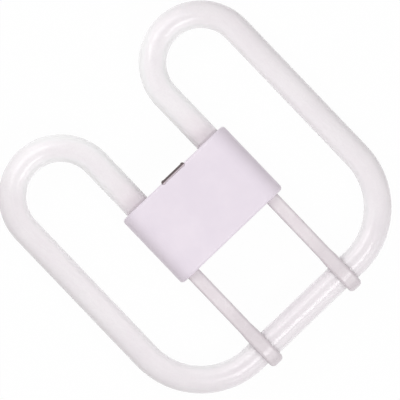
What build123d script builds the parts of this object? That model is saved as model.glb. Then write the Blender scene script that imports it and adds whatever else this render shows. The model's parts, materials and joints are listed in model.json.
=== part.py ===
from build123d import *
import os

# A flat double-D compact fluorescent lamp with a two-pin cap, in millimetres.
# The origin is the centre of the cap's back face. +Z is the front of the lamp,
# +Y runs from the cap to the two U-bends of the tube, and the arms run to -Y.

# Discharge tube
lamp_width = 138.0
lamp_height = 141.4
tube_d = 12.0
stub_length = 26.2
corner_bend_r = 32.6
tube_insert = 10.0
pinch_width = 7.4
pinch_thickness = 2.6
pinch_length = 4.5
pinch_root = 1.0
shoulder_r = 3.0

# Cap shells
cap_height = 37.6
cap_thickness = 27.5
cap_side_r = 9.0
cap_rim_r = 1.5
wall = 1.8
tube_hole_clear = 0.3
tongue_depth = 1.2
fit_clear = 0.1
seat_clear = 0.05
rib_thickness = 1.5
inner_gap = 0.5
side_room = 0.4
joint_depth = 0.3
joint_width = 0.5

# Bosses of the rear shell, and the cover's posts and pegs that enter them
boss_d = 4.4
peg_d = 2.2
peg_length = 6.0
side_boss_y = -1.5

# Socket recess and its dark moulded contact block, whose key shows in the cover's notch
socket_width = 24.0
socket_height = 13.0
socket_depth = 12.5
socket_corner_r = 1.5
block_wall = 1.5
block_floor = 2.5
block_flange = 1.4
block_room = 0.7
key_width = 13.1
key_height = 1.5
key_sink = 0.2
key_drop = 0.8
key_lobe_r = 0.95
notch_pad = 1.6

# Contact pins
pin_d = 2.35
pin_pitch = 8.0
pin_length = 7.6
pin_tip_r = 0.8
pin_flange_d = 3.8
pin_flange_t = 0.7
pin_rivet_d = 3.2
pin_tail = 1.2
pin_bore_d = 1.1
pin_bore_depth = 4.0

# Support arms, which are channels open to the back, and their tube clips
arm_inset = 6.5
arm_width = 6.2
arm_thickness = 5.0
arm_edge_r = 1.2
arm_web = 1.7
arm_flange = 1.2
arm_head_rim = 0.9
arm_head_length = 2.4
arm_head_height = 3.6
clip_width = 6.7
clip_wall = 2.9
clip_clear = 0.1
clip_near_wall = 2.3
clip_end_r = 2.6
clip_wrap = 3.0
clip_foot_r = 0.6
clip_taper = 3.0

# Basing cement
cement_thickness = 0.8
cement_length = 3.4

# Glow starter and capacitor
starter_d = 8.0
starter_length = 18.0
starter_pinch_length = 3.4
starter_pinch_width = 4.4
starter_pinch_thickness = 1.8
starter_lead_pitch = 2.4
starter_y = -8.0
cradle_spacing = 10.0
capacitor_d = 6.0
capacitor_length = 14.0
capacitor_edge_r = 1.0

# Wires, sleeves and crimps
wire_d = 0.7
wire_bend_r = 1.2
wire_gap = 1.2
lead_pitch = 3.2
crimp_d = 2.7
crimp_bore_d = 1.8
crimp_length = 5.0
crimp_overlap = 2.6
sleeve_d = 1.8
sleeve_length = 6.5

# Places worked out from the sizes above
mid_z = cap_thickness / 2
tube_r = tube_d / 2
block_width = socket_width + 2 * block_wall
stub_x = block_width / 2 + block_room + cement_thickness + tube_r
cap_width = 2 * (stub_x + tube_r + cement_thickness + side_room + wall)
leg_x = lamp_width / 2 - tube_r
u_bend_r = (leg_x - stub_x) / 2
cap_top_y = cap_height / 2
cap_bottom_y = -cap_top_y
u_bend_y = cap_top_y + stub_length
far_run_y = u_bend_y + u_bend_r + 2 * tube_r - lamp_height
barrel_end_y = cap_top_y - tube_insert
pinch_end_y = barrel_end_y - pinch_length

cavity_width = cap_width - 2 * wall
cavity_height = cap_height - 2 * wall
cavity_thickness = cap_thickness - 2 * wall
cavity_side_r = cap_side_r - wall
side_boss_x = cavity_width / 2 + wall / 3 - boss_d / 2
lower_boss_y = -cavity_height / 2 + boss_d / 2 + inner_gap

block_height = socket_height + 2 * block_wall
block_depth = socket_depth + block_floor
socket_floor_y = cap_top_y - socket_depth
block_back_y = cap_top_y - block_depth
flange_height = block_height + 2 * block_flange
key_y = cap_top_y - key_sink
key_lobe_x = key_width / 2 - key_lobe_r

arm_x = cap_width / 2 - arm_inset
clip_bore_r = tube_r + clip_clear
clip_outer_r = clip_bore_r + clip_wall
arm_top_z = mid_z + clip_outer_r
arm_under_z = arm_top_z - arm_thickness
arm_head_y = cap_bottom_y + wall + fit_clear
clip_near_y = far_run_y + clip_bore_r + clip_near_wall
clip_foot_z = mid_z - clip_wrap

wire_r = wire_d / 2
wire_offset = crimp_bore_d / 2 - wire_r - seat_clear
starter_r = starter_d / 2
starter_z = mid_z - wire_offset - starter_lead_pitch / 2
starter_end_x = (starter_length + starter_pinch_length) / 2
lower_boss_x = starter_end_x + boss_d / 2 + fit_clear
capacitor_r = capacitor_d / 2
capacitor_z = starter_z + starter_r + inner_gap + capacitor_r
lead_drop_x = starter_end_x + wire_gap + wire_r
low_run_z = starter_z - starter_r - wire_gap - wire_r
pin_run_y = (block_back_y + starter_y + starter_r) / 2
pin_lead_x = stub_x - lead_pitch / 2
starter_lead_x = stub_x + lead_pitch / 2
crimp_inner_x = lead_drop_x + wire_bend_r + inner_gap
crimp_mid_x = crimp_inner_x + crimp_overlap
crimp_wire_x = crimp_mid_x - inner_gap
pin_wire_end_y = block_back_y - pin_tail + pin_bore_depth - inner_gap
near_lead_z = mid_z - wire_offset
far_lead_z = near_lead_z - starter_lead_pitch
SIDES = {"left": -1, "right": 1}

os.makedirs("parts", exist_ok=True)


def save(piece, name):
    """Label a finished piece and write it as its own node."""
    piece.part.label = name
    export_step(piece.part, f"parts/{name}.step")


def loaf(width, height, thickness, side_r, mode=Mode.ADD):
    """A block with its long side edges rounded, centred on the cap's middle plane."""
    with BuildSketch(Plane.XZ) as section:
        with Locations((0, mid_z)):
            RectangleRounded(width, thickness, side_r)
    extrude(section.sketch, amount=height / 2, both=True, mode=mode)


def wall_plate(y, thickness, section, mode=Mode.ADD):
    """Raise an XZ section into a plate from y towards the arms."""
    moved = section.moved(Location((0, y, 0)))
    extrude(moved, amount=thickness, dir=(0, -1, 0), mode=mode)


def wire(points):
    """Sweep a round wire along straight runs joined by tangent arcs."""
    with BuildLine() as route:
        if len(points) > 2:
            FilletPolyline(*points, radius=wire_bend_r)
        else:
            Line(*points)
    path = route.wire()
    with BuildSketch(Plane(origin=path @ 0, z_dir=path % 0)) as section:
        Circle(wire_r)
    sweep(section.sketch, path=path)


# The discharge tube: stub, U-bend, outer leg, corner and far run, and the same back.
with BuildPart() as discharge_tube:
    with BuildLine(Plane.XY.offset(mid_z)) as tube_route:
        Line((stub_x, barrel_end_y), (stub_x, u_bend_y))
        CenterArc((stub_x + u_bend_r, u_bend_y), u_bend_r, start_angle=0, arc_size=180)
        Line((leg_x, u_bend_y), (leg_x, far_run_y + corner_bend_r))
        corner_centre = (leg_x - corner_bend_r, far_run_y + corner_bend_r)
        CenterArc(corner_centre, corner_bend_r, start_angle=-90, arc_size=90)
        Line((leg_x - corner_bend_r, far_run_y), (0, far_run_y))
        mirror(about=Plane.YZ)
    tube_path = tube_route.wire()
    with BuildSketch(Plane(origin=tube_path @ 0, z_dir=tube_path % 0)):
        Circle(tube_r)
    sweep(path=tube_path)
    # Each end of the barrel is rounded over and pinched flat round its two wires.
    barrel_ends = discharge_tube.faces().filter_by(GeomType.PLANE)
    fillet(barrel_ends.edges(), radius=shoulder_r)
    with BuildSketch(Plane.XZ.offset(-barrel_end_y - pinch_root)):
        with Locations((-stub_x, mid_z), (stub_x, mid_z)):
            SlotOverall(pinch_width, pinch_thickness)
    extrude(amount=pinch_root + pinch_length)
save(discharge_tube, "discharge_tube")


# The cap's outer form, with small radii round its upper and lower rims.
with BuildPart() as cap_form:
    loaf(cap_width, cap_height, cap_thickness, cap_side_r)
    rims = cap_form.faces().filter_by(Axis.Y)
    fillet(rims.edges(), radius=cap_rim_r)


def shell_ribs():
    """Tube saddles, and the two ribs that hold the contact block's flange."""
    saddle_in = block_width / 2 + inner_gap
    saddle_out = cap_width / 2 - wall / 2
    with BuildSketch(Plane.XZ) as saddles:
        for side in SIDES.values():
            with Locations((side * (saddle_in + saddle_out) / 2, mid_z)):
                Rectangle(saddle_out - saddle_in, cavity_thickness + wall)
        with Locations((-stub_x, mid_z), (stub_x, mid_z)):
            Circle(tube_r + seat_clear, mode=Mode.SUBTRACT)
    saddle_y = cap_top_y - wall - cement_length - inner_gap
    wall_plate(saddle_y, rib_thickness, saddles.sketch)

    with BuildSketch(Plane.XZ) as block_rib:
        with Locations((0, mid_z)):
            Rectangle(block_width - 2 * block_wall, cavity_thickness + wall)
            Rectangle(block_width, block_height + 2 * fit_clear, mode=Mode.SUBTRACT)
    flange_top_y = block_back_y + block_floor + fit_clear
    wall_plate(flange_top_y + rib_thickness, rib_thickness, block_rib.sketch)
    wall_plate(block_back_y - fit_clear, rib_thickness, block_rib.sketch)


def boss_places():
    """The four places where a peg of the cover enters a boss of the rear shell."""
    places = [(side_boss_x, side_boss_y), (lower_boss_x, lower_boss_y)]
    return [(side * x, y) for side in SIDES.values() for x, y in places]


def round_posts(start_z, height, diameter, mode=Mode.ADD):
    """A round post along Z at each boss place."""
    with BuildSketch(Plane.XY.offset(start_z)) as posts:
        with Locations(*boss_places()):
            Circle(diameter / 2)
    extrude(posts.sketch, amount=height, mode=mode)


def shell_openings():
    """Cut the two tube entries and the contact block's window in the upper wall."""
    with BuildSketch(Plane.XZ) as entries:
        with Locations((-stub_x, mid_z), (stub_x, mid_z)):
            Circle(tube_r + tube_hole_clear)
        with Locations((0, mid_z)):
            Rectangle(block_width + 2 * fit_clear, block_height + 2 * fit_clear)
    wall_plate(cap_top_y, wall + notch_pad, entries.sketch, mode=Mode.SUBTRACT)


def key_outline(start_z, grow):
    """The key as it is seen from the front: a bar with a round lobe at each end."""
    with BuildSketch(Plane.XY.offset(start_z)) as outline:
        with Locations((0, key_y)):
            Rectangle(2 * key_lobe_x, key_height + 2 * grow)
        with Locations((-key_lobe_x, key_y), (key_lobe_x, key_y)):
            Circle(key_lobe_r + grow)
    return outline.sketch


def wall_band(outset, inset, start_z, height, mode):
    """A band round the cap's wall between two insets from its outer face."""
    with BuildSketch(Plane.XY.offset(start_z)) as band:
        Rectangle(cap_width - 2 * outset, cap_height - 2 * outset)
        Rectangle(cap_width - 2 * inset, cap_height - 2 * inset, mode=Mode.SUBTRACT)
    extrude(band.sketch, amount=height, mode=mode)


def joint_groove():
    """Cut the fine groove that runs round the cap where its two shells meet."""
    wall_band(-fit_clear, joint_depth, mid_z - joint_width / 2, joint_width, Mode.SUBTRACT)


# The rear shell: a tray with saddles, ribs, bosses and a cradle for the starter.
with BuildPart() as base_body:
    add(cap_form.part)
    loaf(cavity_width, cavity_height, cavity_thickness, cavity_side_r, Mode.SUBTRACT)
    shell_ribs()
    round_posts(wall / 2, cavity_thickness, boss_d)
    with BuildSketch(Plane.YZ.offset(-cradle_spacing / 2)) as cradle:
        with Locations((starter_y, wall / 2)):
            cradle_width = starter_d + 2 * rib_thickness
            Rectangle(cradle_width, starter_z - wall / 2, align=(Align.CENTER, Align.MIN))
        with Locations((starter_y, starter_z)):
            Circle(starter_r + seat_clear, mode=Mode.SUBTRACT)
        with Locations((starter_y, low_run_z - wire_d)):
            slot_height = starter_z - low_run_z
            Rectangle(2 * wire_d, slot_height, align=(Align.CENTER, Align.MIN), mode=Mode.SUBTRACT)
    extrude(cradle.sketch, amount=rib_thickness / 2, both=True)
    extrude(
        cradle.sketch.moved(Location((cradle_spacing, 0, 0))),
        amount=rib_thickness / 2,
        both=True,
    )
    add(cap_form.part, mode=Mode.INTERSECT)
    shell_openings()
    joint_groove()
    split(bisect_by=Plane.XY.offset(mid_z), keep=Keep.BOTTOM)
    # Blind holes in the bosses, and the rebate that takes the cover's tongue.
    hole_depth = peg_length + inner_gap
    round_posts(mid_z - hole_depth, hole_depth, peg_d + 2 * fit_clear, Mode.SUBTRACT)
    rebate_depth = tongue_depth + fit_clear
    wall_band(wall / 2, wall, mid_z - rebate_depth, rebate_depth, Mode.SUBTRACT)
    # A tab closes each arm slot of the cover from below.
    with BuildSketch(Plane.XY.offset(mid_z - rebate_depth)):
        with Locations((-arm_x, cap_bottom_y), (arm_x, cap_bottom_y)):
            Rectangle(arm_width, wall, align=(Align.CENTER, Align.MIN))
    extrude(amount=arm_under_z - fit_clear - mid_z + rebate_depth)
save(base_body, "base_body")


# The front shell: a lid with a tongue round its rim, four pegs and the notch.
with BuildPart() as base_cover:
    add(cap_form.part)
    loaf(cavity_width, cavity_height, cavity_thickness, cavity_side_r, Mode.SUBTRACT)
    shell_ribs()
    round_posts(mid_z, cavity_thickness / 2 + wall / 2, boss_d)
    with BuildSketch(Plane.YZ.offset(-cradle_spacing / 2)) as saddle:
        with Locations((starter_y, capacitor_z)):
            saddle_width = capacitor_d + 2 * rib_thickness
            saddle_height = cap_thickness - wall / 2 - capacitor_z
            Rectangle(saddle_width, saddle_height, align=(Align.CENTER, Align.MIN))
            Circle(capacitor_r + seat_clear, mode=Mode.SUBTRACT)
    extrude(saddle.sketch, amount=rib_thickness / 2, both=True)
    extrude(
        saddle.sketch.moved(Location((cradle_spacing, 0, 0))),
        amount=rib_thickness / 2,
        both=True,
    )
    # A pad thickens the upper wall behind the notch.
    with BuildSketch(Plane.XZ) as pad:
        with Locations((0, mid_z + block_height / 2 + fit_clear)):
            pad_height = cap_thickness - wall / 2 - mid_z - block_height / 2 - fit_clear
            Rectangle(key_width + 2 * wall, pad_height, align=(Align.CENTER, Align.MIN))
    wall_plate(cap_top_y - wall, notch_pad, pad.sketch)
    add(cap_form.part, mode=Mode.INTERSECT)
    joint_groove()
    split(bisect_by=Plane.XY.offset(mid_z), keep=Keep.TOP)
    # The tongue is the inner half of the wall, carried on below the parting plane.
    tongue_out = wall / 2 + fit_clear
    wall_band(tongue_out, wall, mid_z - tongue_depth, 2 * tongue_depth, Mode.ADD)
    round_posts(mid_z - peg_length, peg_length + wall, peg_d)
    shell_openings()
    with BuildSketch(Plane.XZ.offset(-cap_bottom_y)):
        with Locations((-arm_x, mid_z - wall), (arm_x, mid_z - wall)):
            slot_height = arm_top_z + fit_clear - mid_z + wall
            Rectangle(
                arm_width + 2 * fit_clear, slot_height, align=(Align.CENTER, Align.MIN)
            )
    extrude(amount=-wall, mode=Mode.SUBTRACT)
    extrude(key_outline(mid_z, fit_clear), amount=cap_thickness, mode=Mode.SUBTRACT)
save(base_cover, "base_cover")


# The contact block: a dark box that lines the socket, with a flange at its back.
with BuildPart() as contact_block:
    with BuildSketch(Plane.XZ.offset(-cap_top_y)):
        with Locations((0, mid_z)):
            Rectangle(block_width, block_height)
    extrude(amount=block_depth)
    with BuildSketch(Plane.XZ.offset(-block_back_y)):
        with Locations((0, mid_z)):
            Rectangle(block_width - 2 * block_wall, flange_height)
    extrude(amount=-block_floor)
    with BuildSketch(Plane.XZ.offset(-cap_top_y)):
        with Locations((0, mid_z)):
            RectangleRounded(socket_width, socket_height, socket_corner_r)
    extrude(amount=socket_depth, mode=Mode.SUBTRACT)
    with BuildSketch(Plane.XZ.offset(-cap_top_y)):
        with Locations((-pin_pitch / 2, mid_z), (pin_pitch / 2, mid_z)):
            Circle(pin_d / 2)
    extrude(amount=block_depth, mode=Mode.SUBTRACT)
    # The key stands on the block's front wall and shows in the cover's notch.
    key_start_z = mid_z + (socket_height + block_wall) / 2
    extrude(key_outline(key_start_z, 0), amount=cap_thickness - key_drop - key_start_z)
save(contact_block, "contact_block")


# The contact pins: turned with a flange in front of the floor and a rivet behind.
for side_name, side in SIDES.items():
    with BuildPart() as contact_pin:
        with BuildSketch(Plane.XY.offset(mid_z)):
            with Locations((side * pin_pitch / 2, 0)):
                with Locations((0, block_back_y - pin_tail)):
                    body_length = pin_tail + block_floor + pin_length
                    Rectangle(pin_d / 2, body_length, align=(Align.MIN, Align.MIN))
                with Locations((0, socket_floor_y)):
                    Rectangle(pin_flange_d / 2, pin_flange_t, align=(Align.MIN, Align.MIN))
                with Locations((0, block_back_y - pin_flange_t)):
                    Rectangle(pin_rivet_d / 2, pin_flange_t, align=(Align.MIN, Align.MIN))
                with Locations((0, block_back_y - pin_tail)):
                    Rectangle(
                        pin_bore_d / 2,
                        pin_bore_depth,
                        align=(Align.MIN, Align.MIN),
                        mode=Mode.SUBTRACT,
                    )
        revolve(axis=Axis((side * pin_pitch / 2, 0, mid_z), (0, 1, 0)))
        pin_tip = contact_pin.faces().sort_by(Axis.Y)[-1]
        fillet(pin_tip.edges(), radius=pin_tip_r)
    save(contact_pin, f"contact_pin_{side_name}")


# The support arms: a channel, an anchor head inside the cap and a clip at the end.
for side_name, side in SIDES.items():
    with BuildPart() as support_arm:
        with BuildSketch(Plane.YZ.offset(side * arm_x)) as arm_side:
            with Locations((far_run_y, mid_z)):
                Circle(clip_outer_r)
            with Locations((far_run_y, clip_foot_z)):
                near_length = clip_near_y - far_run_y
                Rectangle(near_length, arm_top_z - clip_foot_z, align=(Align.MIN, Align.MIN))
                Rectangle(
                    2 * clip_outer_r,
                    clip_outer_r,
                    align=(Align.CENTER, Align.MAX),
                    mode=Mode.SUBTRACT,
                )
            with Locations((far_run_y, arm_under_z)):
                bar_length = arm_head_y - far_run_y
                Rectangle(bar_length, arm_thickness, align=(Align.MIN, Align.MIN))
            with Locations((far_run_y, mid_z)):
                Circle(clip_bore_r, mode=Mode.SUBTRACT)
            lips = arm_side.vertices().group_by(Axis.Y)[0].sort_by(Axis.X)[1:3]
            fillet(lips, radius=clip_foot_r)
        extrude(amount=clip_width / 2, both=True)
        # From above, the bar is narrower than the clip.
        with BuildSketch(Plane.XY.offset(clip_foot_z)):
            with Locations((side * arm_x, clip_near_y)):
                clip_length = clip_near_y - far_run_y + clip_outer_r + fit_clear
                Rectangle(clip_width, clip_length, align=(Align.CENTER, Align.MAX))
            with Locations((side * arm_x, clip_near_y)):
                Polygon(
                    (-clip_width / 2, 0),
                    (clip_width / 2, 0),
                    (arm_width / 2, clip_taper),
                    (-arm_width / 2, clip_taper),
                    align=None,
                )
            with Locations((side * arm_x, clip_near_y)):
                Rectangle(arm_width, arm_head_y - clip_near_y, align=(Align.CENTER, Align.MIN))
        extrude(amount=cap_thickness, mode=Mode.INTERSECT)
        arm_top = support_arm.faces().filter_by(Axis.Z).sort_by(Axis.Z)[-1]
        fillet(arm_top.edges().filter_by(Axis.X, reverse=True), radius=arm_edge_r)
        # From above, the clip's end is round too.
        with BuildSketch(Plane.XY.offset(clip_foot_z)) as end_plan:
            with Locations((side * arm_x, far_run_y - clip_outer_r - fit_clear)):
                Rectangle(clip_width + 2 * fit_clear, lamp_height, align=(Align.CENTER, Align.MIN))
            fillet(end_plan.vertices().group_by(Axis.Y)[0], radius=clip_end_r)
        extrude(amount=cap_thickness, mode=Mode.INTERSECT)
        # The channel is open to the back, between the cap and the clip.
        with BuildSketch(Plane.XY.offset(arm_top_z - arm_web)):
            with Locations((side * arm_x, clip_near_y)):
                channel_length = cap_bottom_y - arm_flange - clip_near_y
                Rectangle(
                    arm_width - 2 * arm_flange, channel_length, align=(Align.CENTER, Align.MIN)
                )
        extrude(amount=-arm_thickness, mode=Mode.SUBTRACT)
        # The anchor head sits behind the cap's lower wall.
        with BuildSketch(Plane.XZ.offset(-arm_head_y)):
            with Locations((side * arm_x, arm_under_z - arm_head_rim)):
                Rectangle(
                    arm_width + 2 * arm_head_rim,
                    arm_head_height,
                    align=(Align.CENTER, Align.MIN),
                )
        extrude(amount=-arm_head_length)
    save(support_arm, f"support_arm_{side_name}")


# Rings of basing cement round the tube ends, behind the cap's upper wall.
for side_name, side in SIDES.items():
    with BuildPart() as cement:
        with BuildSketch(Plane.XZ.offset(-(cap_top_y - wall - fit_clear))):
            with Locations((side * stub_x, mid_z)):
                Circle(tube_r + cement_thickness)
                Circle(tube_r + seat_clear, mode=Mode.SUBTRACT)
        extrude(amount=cement_length)
    save(cement, f"tube_cement_{side_name}")


# The glow starter: a glass bulb along X, pinched flat at its left end.
with BuildPart() as starter_bulb:
    barrel_x = starter_end_x - starter_length
    with BuildSketch(Plane.YZ.offset(barrel_x)):
        with Locations((starter_y, starter_z)):
            Circle(starter_r)
    extrude(amount=starter_length)
    fillet(starter_bulb.edges().filter_by(GeomType.CIRCLE), radius=starter_r / 2)
    with BuildSketch(Plane.YZ.offset(barrel_x + starter_r / 2)):
        with Locations((starter_y, starter_z)):
            SlotOverall(starter_pinch_width, starter_pinch_thickness, rotation=90)
    extrude(amount=-(starter_pinch_length + starter_r / 2))
save(starter_bulb, "starter_bulb")


# The radio interference capacitor: a dipped tube over the starter.
with BuildPart() as suppressor_capacitor:
    with BuildSketch(Plane.YZ):
        with Locations((starter_y, capacitor_z)):
            Circle(capacitor_r)
    extrude(amount=capacitor_length / 2, both=True)
    fillet(suppressor_capacitor.edges().filter_by(GeomType.CIRCLE), radius=capacitor_edge_r)
save(suppressor_capacitor, "suppressor_capacitor")


# Crimp ferrules: the tube's wire enters from outside, the other two from inside.
for side_name, side in SIDES.items():
    with BuildPart() as crimp:
        with BuildSketch(Plane.YZ.offset(side * crimp_inner_x)):
            with Locations((starter_y, mid_z)):
                Circle(crimp_d / 2)
                Circle(crimp_bore_d / 2, mode=Mode.SUBTRACT)
        extrude(amount=side * crimp_length)
    save(crimp, f"crimp_{side_name}")


# The tube's wires: one of each end goes to its pin, and one to its crimp.
for side_name, side in SIDES.items():
    with BuildPart() as pin_lead:
        wire(
            [
                (side * pin_lead_x, pinch_end_y, mid_z),
                (side * pin_lead_x, pin_run_y, mid_z),
                (side * pin_pitch / 2, pin_run_y, mid_z),
                (side * pin_pitch / 2, pin_wire_end_y, mid_z),
            ]
        )
    save(pin_lead, f"tube_lead_pin_{side_name}")

    with BuildPart() as starter_side_lead:
        wire(
            [
                (side * starter_lead_x, pinch_end_y, mid_z),
                (side * starter_lead_x, starter_y, mid_z),
                (side * crimp_mid_x, starter_y, mid_z),
            ]
        )
    save(starter_side_lead, f"tube_lead_starter_{side_name}")

    with BuildPart() as sleeve:
        with BuildSketch(Plane.XZ.offset(-(pinch_end_y - inner_gap))):
            with Locations((side * starter_lead_x, mid_z)):
                Circle(sleeve_d / 2)
                Circle(wire_r + seat_clear, mode=Mode.SUBTRACT)
        extrude(amount=sleeve_length)
    save(sleeve, f"lead_sleeve_{side_name}")

    with BuildPart() as capacitor_lead:
        wire(
            [
                (side * capacitor_length / 2, starter_y, capacitor_z),
                (side * lead_drop_x, starter_y, capacitor_z),
                (side * lead_drop_x, starter_y, mid_z + wire_offset),
                (side * crimp_wire_x, starter_y, mid_z + wire_offset),
            ]
        )
    save(capacitor_lead, f"capacitor_lead_{side_name}")


# The starter's wires: a straight one to the left, and one under the bulb to the right.
with BuildPart() as starter_lead_short:
    wire(
        [
            (-starter_end_x, starter_y, near_lead_z),
            (-crimp_wire_x, starter_y, near_lead_z),
        ]
    )
save(starter_lead_short, "starter_lead_short")

with BuildPart() as starter_lead_long:
    wire(
        [
            (-starter_end_x, starter_y, far_lead_z),
            (-lead_drop_x, starter_y, far_lead_z),
            (-lead_drop_x, starter_y, low_run_z),
            (lead_drop_x, starter_y, low_run_z),
            (lead_drop_x, starter_y, near_lead_z),
            (crimp_wire_x, starter_y, near_lead_z),
        ]
    )
save(starter_lead_long, "starter_lead_long")
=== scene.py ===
import json
import math

import bpy
from mathutils import Matrix, Vector

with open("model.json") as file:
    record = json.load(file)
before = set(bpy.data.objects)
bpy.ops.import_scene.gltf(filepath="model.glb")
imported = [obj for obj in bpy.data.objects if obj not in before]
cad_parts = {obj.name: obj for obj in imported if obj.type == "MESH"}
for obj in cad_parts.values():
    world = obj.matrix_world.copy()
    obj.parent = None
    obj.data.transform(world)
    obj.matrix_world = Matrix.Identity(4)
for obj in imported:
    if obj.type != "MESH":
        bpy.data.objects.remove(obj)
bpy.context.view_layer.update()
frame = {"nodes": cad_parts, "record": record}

MM = 0.001

# The lamp's places that the looks follow, in millimetres.
MID_Z = 13.75
# The middle line of each D, which runs up the lamp between its stub and its leg.
LOOP_X = 42.0
LOOP_HIGH_Y = 45.0
LOOP_LOW_Y = -31.0
# The tube's stubs, legs and far run, and how far their painted light and shade fade.
STUB_WHITE_X = 28.0
LEG_INNER_X = 50.0
LEG_FADE = 8.0
RUN_Y = -62.0
RUN_FADE = 12.0
# The painted shade, pinker and darker, on the stubs above the cap's wall, and the thin painted
# contact shade at the wall.
CAP_TOP_Y = 18.8
STUB_SHADE_X = 30.0
STUB_PLAIN_X = 36.0
STUB_SHADE_Y = 40.0
CONTACT_SHADE_LOW = 0.3
CONTACT_SHADE_HIGH = 1.2
CONTACT_SHADE_RAGGED = 0.8
# The cap's rounded sides, where shade is painted, and the paler lower edge of the contact
# block's key.
CAP_FLAT_X = 24.0
CAP_SIDE_X = 29.5
KEY_FRONT_Z = 24.0
KEY_PALE_Y = 18.1
KEY_DARK_Y = 18.6
# The arms: half widths of web and flanges, where the web darkens, and the clip's end wall;
# shade is painted on the flanges and the end wall.
ARM_X = 23.5
WEB_HALF = 1.6
FLANGE_HALF = 3.1
ARM_DARK_Y = -50.0
ARM_PALE_Y = -36.0
CLIP_END_Y = -71.2
CLIP_WALL_Y = -67.5

# Camera: the photograph's view, from straight above the lamp. Millimetres and degrees.
VIEW_CENTRE = (0.55, 2.23, MID_Z)
VIEW_WIDTH = 173.35
VIEW_ROLL = 43.7
# Metres, and the sensor's width in millimetres.
CAMERA_DISTANCE = 3.0
CAMERA_RANGE = 20.0
SENSOR = 36.0

# Floor and light, in metres. Albedo, white and level are shares of white.
FLOOR_HALF = 4.0
FLOOR_DROP = 0.0002
FLOOR_TOUCH = 0.002
FLOOR_ALBEDO = 0.9
FLOOR_WHITE = 0.97
WORLD_WHITE = 1.0
WORLD_LEVEL = 0.51
# Each soft box: its place, its size and its watts.
SOFT_BOXES = {
    "soft_box_top": ((-0.02, 0.37, 0.53), (0.36, 0.3), 0.95),
    "soft_box_bottom": ((-0.02, -0.34, 0.545), (0.3, 0.24), 1.0),
    "low_light_top": ((0.0, 0.95, 0.45), (0.8, 0.6), 1.65),
    "low_light_bottom": ((0.0, -0.95, 0.4), (0.8, 0.5), 1.3),
}

# Noise comes out near 0.5: these limits spread it over the whole range.
NOISE_LOW = 0.3
NOISE_HIGH = 0.7


def srgb(red, green, blue):
    """Eight bit colour values as the linear colour that a shader takes."""

    def linear(value):
        share = value / 255
        if share <= 0.04045:
            return share / 12.92
        return ((share + 0.055) / 1.055) ** 2.4

    return (linear(red), linear(green), linear(blue), 1.0)


class Nodes:
    """A material's node tree, with short ways to add what the finishes need."""

    def __init__(self, name):
        self.material = bpy.data.materials.new(name)
        self.material.use_nodes = True
        self.tree = self.material.node_tree
        self.shader = self.tree.nodes["Principled BSDF"]
        self.place = self.add("ShaderNodeTexCoord").outputs["Object"]

    def add(self, kind):
        return self.tree.nodes.new(kind)

    def link(self, start, end):
        self.tree.links.new(start, end)

    def feed(self, socket, value):
        if isinstance(value, bpy.types.NodeSocket):
            self.link(value, socket)
        else:
            socket.default_value = value

    def set(self, **values):
        """Give the shader's own sockets plain values."""
        for key, value in values.items():
            self.shader.inputs[key.replace("_", " ")].default_value = value

    def noise(self, size_mm, detail=3.0, roughness=0.5):
        """Soft random spots of about this size."""
        node = self.add("ShaderNodeTexNoise")
        node.inputs["Scale"].default_value = 1 / (size_mm * MM)
        node.inputs["Detail"].default_value = detail
        node.inputs["Roughness"].default_value = roughness
        self.link(self.place, node.inputs["Vector"])
        return node.outputs["Fac"]

    def cells(self, size_mm):
        """Grains of about this size."""
        node = self.add("ShaderNodeTexVoronoi")
        node.inputs["Scale"].default_value = 1 / (size_mm * MM)
        self.link(self.place, node.inputs["Vector"])
        return node.outputs["Distance"]

    def wave(self, size_mm, direction, distortion=0.0):
        """Fine ribs across the direction."""
        node = self.add("ShaderNodeTexWave")
        node.bands_direction = direction
        node.inputs["Scale"].default_value = 1 / (size_mm * MM) / 3
        node.inputs["Distortion"].default_value = distortion
        self.link(self.place, node.inputs["Vector"])
        return node.outputs["Fac"]

    def axis(self, name):
        """One axis of the place in the lamp, in metres."""
        split = self.add("ShaderNodeSeparateXYZ")
        self.link(self.place, split.inputs["Vector"])
        return split.outputs[name]

    def facing(self, name):
        """One axis of the surface's own direction."""
        split = self.add("ShaderNodeSeparateXYZ")
        self.link(self.add("ShaderNodeNewGeometry").outputs["Normal"], split.inputs["Vector"])
        return split.outputs[name]

    def math(self, operation, first, second=0.0):
        node = self.add("ShaderNodeMath")
        node.operation = operation
        self.feed(node.inputs[0], first)
        self.feed(node.inputs[1], second)
        return node.outputs["Value"]

    def ramp(self, value, low, high, start=0.0, end=1.0):
        """Carry a value smoothly from start to end as it goes from low to high."""
        node = self.add("ShaderNodeMapRange")
        node.interpolation_type = "SMOOTHSTEP"
        self.feed(node.inputs["Value"], value)
        node.inputs["From Min"].default_value = low
        node.inputs["From Max"].default_value = high
        node.inputs["To Min"].default_value = start
        node.inputs["To Max"].default_value = end
        return node.outputs["Result"]

    def uneven(self, size_mm, start=0.0, end=1.0, detail=3.0, roughness=0.5):
        """Noise that spreads over the whole range from start to end."""
        spots = self.noise(size_mm, detail, roughness)
        return self.ramp(spots, NOISE_LOW, NOISE_HIGH, start, end)

    def blend(self, share, first, second):
        """The first colour, or the second where the share is 1."""
        node = self.add("ShaderNodeMix")
        node.data_type = "RGBA"
        self.feed(node.inputs["Factor"], share)
        self.feed(node.inputs["A"], first)
        self.feed(node.inputs["B"], second)
        return node.outputs["Result"]

    def bump(self, height, depth_mm, strength=1.0, under=None):
        """The surface's direction with this height on it, over another bump if there is one."""
        node = self.add("ShaderNodeBump")
        node.inputs["Strength"].default_value = strength
        node.inputs["Distance"].default_value = depth_mm * MM
        self.link(height, node.inputs["Height"])
        if under is not None:
            self.link(under, node.inputs["Normal"])
        return node.outputs["Normal"]

    def colour(self, value):
        self.link(value, self.shader.inputs["Base Color"])

    def rough(self, value):
        self.link(value, self.shader.inputs["Roughness"])

    def normal(self, value):
        self.link(value, self.shader.inputs["Normal"])


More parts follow.
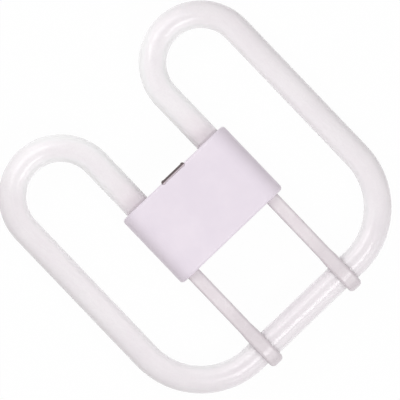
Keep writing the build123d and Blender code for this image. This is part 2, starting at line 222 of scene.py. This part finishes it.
def loop_facing(n, across, along):
    """How far the glass faces the middle line of its D, from -1 outside to 1 inside.

    across and along are the place's X, with no sign, and Y.
    """
    side = n.math("SIGN", n.axis("X"))
    to_x = n.math("SUBTRACT", LOOP_X * MM, across)
    nearest = n.math("MINIMUM", n.math("MAXIMUM", along, LOOP_LOW_Y * MM), LOOP_HIGH_Y * MM)
    to_y = n.math("SUBTRACT", nearest, along)
    squares = n.math("ADD", n.math("MULTIPLY", to_x, to_x), n.math("MULTIPLY", to_y, to_y))
    reach = n.math("MAXIMUM", n.math("SQRT", squares), MM)
    part_x = n.math("MULTIPLY", n.math("MULTIPLY", n.facing("X"), side), to_x)
    part_y = n.math("MULTIPLY", n.facing("Y"), to_y)
    return n.math("DIVIDE", n.math("ADD", part_x, part_y), reach)


def tube_finish():
    """Clear glass over white phosphor, with painted light on the inner sides of the loops and
    painted shade on the legs, the far run and the stubs by the cap.
    """
    n = Nodes("tube_glass_finish")
    n.set(Coat_Weight=1.0, Coat_Roughness=0.16, Coat_IOR=1.5, Specular_IOR_Level=0.08)
    n.set(Subsurface_Weight=0.7, Subsurface_Radius=(1.0, 1.0, 1.0), Subsurface_Scale=0.004)
    # The painted light's white.
    white = srgb(251, 247, 249)
    painted_shade_grey = srgb(224, 218, 221)
    across = n.math("ABSOLUTE", n.axis("X"))
    along = n.axis("Y")
    above = n.math("GREATER_THAN", along, 0.0)
    inward = loop_facing(n, across, along)

    # The phosphor's clouds and fine specks.
    cloud = n.ramp(n.noise(26.0, 4.0, 0.55), 0.32, 0.68)
    coat = n.blend(cloud, srgb(238, 233, 236), srgb(244, 240, 242))
    specks = n.ramp(n.noise(0.8, 2.0), 0.35, 0.7)
    coat = n.blend(n.math("MULTIPLY", specks, 0.25), coat, srgb(230, 224, 228))

    # Painted shade: the far run, most of all its lower side, is a little darker.
    low = n.ramp(along, RUN_Y * MM, (RUN_Y + RUN_FADE) * MM, 0.5, 0.0)
    coat = n.blend(low, coat, srgb(227, 221, 225))

    # Painted light: the inner sides of the loops are whiter, and so are both sides of the
    # stubs.
    fade = n.ramp(across, STUB_WHITE_X * MM, LEG_INNER_X * MM, 1.0, 0.0)
    stubs = n.math("MULTIPLY", fade, above)
    inner_painted_light = n.ramp(inward, 0.1, 1.0)
    stub_painted_light = n.math("MULTIPLY", stubs, n.ramp(n.math("ABSOLUTE", inward), 0.1, 1.0))
    coat = n.blend(n.math("MAXIMUM", inner_painted_light, stub_painted_light), coat, white)

    # Painted shade: the legs are greyer, most of all on their outer sides.
    leg_shade = n.ramp(across, LEG_INNER_X * MM, (LEG_INNER_X + LEG_FADE) * MM, 0.0, 0.2)
    coat = n.blend(leg_shade, coat, painted_shade_grey)
    outer_shade = n.ramp(inward, -0.9, -0.35, 1.0, 0.0)
    sideways = n.ramp(n.math("ABSOLUTE", n.facing("X")), 0.3, 0.9)
    outer_shade = n.math("MULTIPLY", outer_shade, sideways)
    outer_shade = n.math("MULTIPLY", outer_shade, n.math("SUBTRACT", 1.0, stubs))
    coat = n.blend(n.math("MULTIPLY", outer_shade, 0.6), coat, painted_shade_grey)

    # Painted shade: the stubs by the cap are a little pinker and darker, with a thin darker
    # line at its wall.
    inner = n.ramp(across, STUB_SHADE_X * MM, STUB_PLAIN_X * MM, 1.0, 0.0)
    stub = n.math("MULTIPLY", inner, above)
    near = n.ramp(along, CAP_TOP_Y * MM, STUB_SHADE_Y * MM, 0.25, 0.0)
    coat = n.blend(n.math("MULTIPLY", stub, near), coat, srgb(236, 220, 226))
    ragged = n.math("MULTIPLY", n.noise(2.0, 2.0), CONTACT_SHADE_RAGGED * MM)
    edge = n.math("SUBTRACT", along, ragged)
    painted_contact_shade = n.ramp(edge, (CAP_TOP_Y + CONTACT_SHADE_LOW) * MM, (CAP_TOP_Y + CONTACT_SHADE_HIGH) * MM, 0.5, 0.0)
    n.colour(n.blend(n.math("MULTIPLY", stub, painted_contact_shade), coat, srgb(206, 196, 202)))

    n.rough(n.uneven(9.0, 0.32, 0.46))
    n.normal(n.bump(n.noise(11.0, 2.0, 0.4), 0.02, 0.3))
    return n.material


def moulded_plastic(name, light, dark, tint, rough, grain_mm):
    """Moulded plastic with flow marks, a fine grain and soft handling marks.

    Gives the nodes and the body's colour, which the caller finishes.
    """
    n = Nodes(name)
    n.set(Specular_IOR_Level=0.45)
    body = n.blend(n.uneven(18.0, roughness=0.6), dark, light)
    marks = n.ramp(n.noise(2.4, 5.0, 0.7), 0.62, 0.78)
    body = n.blend(n.math("MULTIPLY", marks, 0.35), body, tint)
    n.rough(n.uneven(5.0, *rough, detail=4.0, roughness=0.6))
    sink = n.bump(n.noise(14.0, 1.0), 0.12, 0.4)
    n.normal(n.bump(n.noise(grain_mm, 2.0, 0.6), 0.02, 0.35, sink))
    return n, body


def cap_finish():
    """Satin off-white with a lilac tint, and painted shade on the rounded sides."""
    n, body = moulded_plastic(
        "cap_plastic_finish",
        light=srgb(236, 226, 236),
        dark=srgb(231, 221, 232),
        tint=srgb(224, 214, 224),
        rough=(0.38, 0.5),
        grain_mm=0.35,
    )
    n.set(Coat_Weight=0.12, Coat_Roughness=0.3)
    across = n.math("ABSOLUTE", n.axis("X"))
    # Painted shade on the rounded sides.
    side = n.math("MULTIPLY", n.ramp(across, CAP_FLAT_X * MM, CAP_SIDE_X * MM), 0.6)
    n.colour(n.blend(side, body, srgb(214, 204, 213)))
    return n.material


def arm_finish():
    """Milky plastic with a pale web, and painted shade on the flanges and the clip's end."""
    n = Nodes("arm_plastic_finish")
    n.set(Specular_IOR_Level=0.5, IOR=1.49)
    n.set(Subsurface_Weight=0.5, Subsurface_Radius=(1.0, 1.0, 1.0), Subsurface_Scale=0.002)
    n.set(Coat_Weight=0.3, Coat_Roughness=0.12)
    across = n.math("ABSOLUTE", n.axis("X"))
    from_middle = n.math("ABSOLUTE", n.math("SUBTRACT", across, ARM_X * MM))
    along = n.axis("Y")
    # Painted shade along the flanges.
    flange_shade = n.ramp(from_middle, WEB_HALF * MM, FLANGE_HALF * MM)
    web = n.blend(n.uneven(7.0), srgb(230, 222, 226), srgb(236, 229, 232))
    by_run = n.ramp(along, ARM_DARK_Y * MM, ARM_PALE_Y * MM, 0.5, 0.0)
    web = n.blend(by_run, web, srgb(214, 206, 210))
    tone = n.blend(n.math("MULTIPLY", flange_shade, 0.7), web, srgb(198, 189, 194))
    # Painted shade: the clip's outer end wall is darker.
    end = n.ramp(along, CLIP_END_Y * MM, CLIP_WALL_Y * MM, 1.0, 0.0)
    n.colour(n.blend(n.math("MULTIPLY", end, 0.6), tone, srgb(206, 197, 202)))
    n.rough(n.uneven(4.0, 0.2, 0.34))
    n.normal(n.bump(n.noise(6.0, 2.0), 0.08, 0.4))
    return n.material


def block_finish():
    """Dark brown phenolic, with the key's front paler towards its lower edge."""
    n, body = moulded_plastic(
        "block_plastic_finish",
        light=srgb(102, 90, 90),
        dark=srgb(82, 71, 73),
        tint=srgb(116, 104, 104),
        rough=(0.4, 0.6),
        grain_mm=0.25,
    )
    pale_edge = n.ramp(n.axis("Y"), KEY_PALE_Y * MM, KEY_DARK_Y * MM, 1.0, 0.0)
    front = n.math("GREATER_THAN", n.axis("Z"), KEY_FRONT_Z * MM)
    n.colour(n.blend(n.math("MULTIPLY", pale_edge, front), body, srgb(222, 208, 214)))
    return n.material


def metal_finish(name, light, dark, lines_mm, direction, rough):
    """Turned or drawn metal, with fine tool lines and a slightly uneven tone."""
    n = Nodes(name)
    n.set(Metallic=1.0)
    n.colour(n.blend(n.uneven(1.6, detail=4.0, roughness=0.6), dark, light))
    n.rough(n.uneven(0.7, *rough))
    n.normal(n.bump(n.wave(lines_mm, direction, 1.0), 0.01, 0.4))
    return n.material


def cement_finish():
    """Baked cement: a gritty, matt, off-white paste."""
    n = Nodes("cement_finish")
    n.set(Specular_IOR_Level=0.2)
    grit = n.cells(0.35)
    n.colour(n.blend(n.ramp(grit, 0.1, 0.7), srgb(206, 196, 178), srgb(228, 221, 206)))
    n.rough(n.uneven(0.6, 0.75, 0.95))
    n.normal(n.bump(grit, 0.06, 0.7))
    return n.material


def starter_finish():
    """Thin clear glass with a faint haze."""
    n = Nodes("starter_glass_finish")
    n.set(Transmission_Weight=0.85, IOR=1.5, Coat_Weight=0.5, Coat_Roughness=0.03)
    n.colour(n.blend(n.uneven(3.0), srgb(214, 224, 226), srgb(238, 243, 244)))
    n.rough(n.uneven(2.0, 0.03, 0.12))
    n.normal(n.bump(n.noise(2.5, 1.0), 0.05, 0.3))
    return n.material


def sleeve_finish():
    """Woven glass sleeving: two sets of fine ribs that cross."""
    n = Nodes("sleeve_cloth_finish")
    n.set(Specular_IOR_Level=0.3, Sheen_Weight=0.3)
    along = n.wave(0.4, "Y")
    around = n.wave(0.4, "Z")
    weave = n.math("MULTIPLY", along, around)
    n.colour(n.blend(weave, srgb(196, 182, 146), srgb(232, 222, 192)))
    n.rough(n.uneven(0.8, 0.65, 0.85))
    n.normal(n.bump(weave, 0.08, 0.8))
    return n.material


def capacitor_finish():
    """Dipped resin, thick and glossy, with a slightly mottled ochre colour."""
    n = Nodes("capacitor_coat_finish")
    n.set(Coat_Weight=0.7, Coat_Roughness=0.08)
    n.colour(n.blend(n.uneven(2.2), srgb(178, 120, 52), srgb(206, 152, 78)))
    n.rough(n.uneven(1.5, 0.25, 0.4))
    n.normal(n.bump(n.noise(1.8, 2.0), 0.12, 0.5))
    return n.material


finishes = {
    "tube_glass": tube_finish(),
    "cap_plastic": cap_finish(),
    "arm_plastic": arm_finish(),
    "block_plastic": block_finish(),
    "pin_metal": metal_finish(
        "pin_metal_finish", srgb(226, 206, 150), srgb(196, 172, 112), 0.25, "Y", (0.2, 0.34)
    ),
    "wire_metal": metal_finish(
        "wire_metal_finish", srgb(206, 204, 200), srgb(172, 170, 168), 0.3, "X", (0.28, 0.42)
    ),
    "crimp_metal": metal_finish(
        "crimp_metal_finish", srgb(214, 214, 212), srgb(182, 182, 184), 0.5, "X", (0.3, 0.48)
    ),
    "sleeve_cloth": sleeve_finish(),
    "cement": cement_finish(),
    "starter_glass": starter_finish(),
    "capacitor_coat": capacitor_finish(),
}
for part in frame["record"]["subparts"]:
    shown = frame["nodes"][part["node"]]
    shown.data.materials.clear()
    shown.data.materials.append(finishes[part["material_slot"]])


def join_shares(nodes, links, operation, first, second):
    """One share from two, by a math node."""
    node = nodes.new("ShaderNodeMath")
    node.operation = operation
    links.new(first, node.inputs[0])
    if isinstance(second, bpy.types.NodeSocket):
        links.new(second, node.inputs[1])
    else:
        node.inputs[1].default_value = second
    return node.outputs["Value"]


def mix_shaders(nodes, links, share, first, second):
    """The first shader, or the second where the share is 1."""
    node = nodes.new("ShaderNodeMixShader")
    links.new(share, node.inputs["Fac"])
    links.new(first, node.inputs[1])
    links.new(second, node.inputs[2])
    return node.outputs["Shader"]


def backdrop_colour(nodes, links, lit, shown):
    """Mix in a plain white for what the camera, gloss and clear pieces see."""
    path = nodes.new("ShaderNodeLightPath").outputs
    seen = join_shares(nodes, links, "MAXIMUM", path["Is Camera Ray"], path["Is Glossy Ray"])
    seen = join_shares(nodes, links, "MAXIMUM", seen, path["Is Transmission Ray"])
    share = join_shares(nodes, links, "MULTIPLY", seen, shown)
    white = nodes.new("ShaderNodeEmission")
    white.inputs["Color"].default_value = (1.0, 1.0, 1.0, 1.0)
    white.inputs["Strength"].default_value = 1.0
    return mix_shaders(nodes, links, share, lit, white.outputs["Emission"])


def make_floor():
    """A pale floor that is see-through from below, with the object's shadow on it.

    Rays shorter than FLOOR_TOUCH pass through, so the cap's back, which lies on it, isn't
    black when it is looked at from below.
    """
    h = FLOOR_HALF
    mesh = bpy.data.meshes.new("floor")
    corners = [(-h, -h, 0), (h, -h, 0), (h, h, 0), (-h, h, 0)]
    mesh.from_pydata(corners, [], [(0, 1, 2, 3)])
    floor = bpy.data.objects.new("floor", mesh)
    floor.location = (0, 0, -FLOOR_DROP)
    bpy.context.scene.collection.objects.link(floor)
    material = bpy.data.materials.new("floor_paper")
    material.use_nodes = True
    nodes = material.node_tree.nodes
    links = material.node_tree.links
    nodes.remove(nodes["Principled BSDF"])
    paper = nodes.new("ShaderNodeBsdfDiffuse")
    paper.inputs["Color"].default_value = (FLOOR_ALBEDO, FLOOR_ALBEDO, FLOOR_ALBEDO, 1.0)
    lit = backdrop_colour(nodes, links, paper.outputs["BSDF"], FLOOR_WHITE)
    length = nodes.new("ShaderNodeLightPath").outputs["Ray Length"]
    near = join_shares(nodes, links, "LESS_THAN", length, FLOOR_TOUCH)
    below = nodes.new("ShaderNodeNewGeometry").outputs["Backfacing"]
    clear = join_shares(nodes, links, "MAXIMUM", near, below)
    gap = nodes.new("ShaderNodeBsdfTransparent")
    shown = mix_shaders(nodes, links, clear, lit, gap.outputs["BSDF"])
    links.new(shown, nodes["Material Output"].inputs["Surface"])
    mesh.materials.append(material)


def make_world():
    """Even pale light from all round, which the camera sees as white."""
    world = bpy.data.worlds.new("studio")
    bpy.context.scene.world = world
    world.use_nodes = True
    nodes = world.node_tree.nodes
    links = world.node_tree.links
    air = nodes["Background"]
    air.inputs["Color"].default_value = (1.0, 1.0, 1.0, 1.0)
    air.inputs["Strength"].default_value = WORLD_LEVEL
    shown = backdrop_colour(nodes, links, air.outputs["Background"], WORLD_WHITE)
    links.new(shown, nodes["World Output"].inputs["Surface"])


def add_soft_box(name, place, size, watts):
    """A rectangular white soft box that faces the middle of the lamp."""
    data = bpy.data.lights.new(name, "AREA")
    data.shape = "RECTANGLE"
    data.size, data.size_y = size
    data.energy = watts
    box = bpy.data.objects.new(name, data)
    box.location = place
    aim = Vector((0, 0, MID_Z * MM)) - Vector(place)
    box.rotation_mode = "QUATERNION"
    box.rotation_quaternion = aim.to_track_quat("-Z", "Y")
    bpy.context.scene.collection.objects.link(box)


def make_camera():
    """A long lens from above, turned so that the lamp leans to the left as in the photo."""
    data = bpy.data.cameras.new("camera")
    data.sensor_width = SENSOR
    data.lens = SENSOR * CAMERA_DISTANCE / (VIEW_WIDTH * MM)
    data.clip_end = CAMERA_RANGE
    camera = bpy.data.objects.new("camera", data)
    roll = math.radians(VIEW_ROLL)
    back = Vector((0.0, 0.0, 1.0))
    up = Vector((math.sin(roll), math.cos(roll), 0.0))
    right = up.cross(back)
    turn = Matrix((right, up, back)).transposed()
    centre = Vector(VIEW_CENTRE) * MM
    camera.matrix_world = Matrix.Translation(centre + back * CAMERA_DISTANCE) @ turn.to_4x4()
    bpy.context.scene.collection.objects.link(camera)
    bpy.context.scene.camera = camera


make_floor()
make_world()
for box_name, (box_place, box_size, box_watts) in SOFT_BOXES.items():
    add_soft_box(box_name, box_place, box_size, box_watts)
make_camera()

bpy.context.scene.view_settings.view_transform = "Standard"
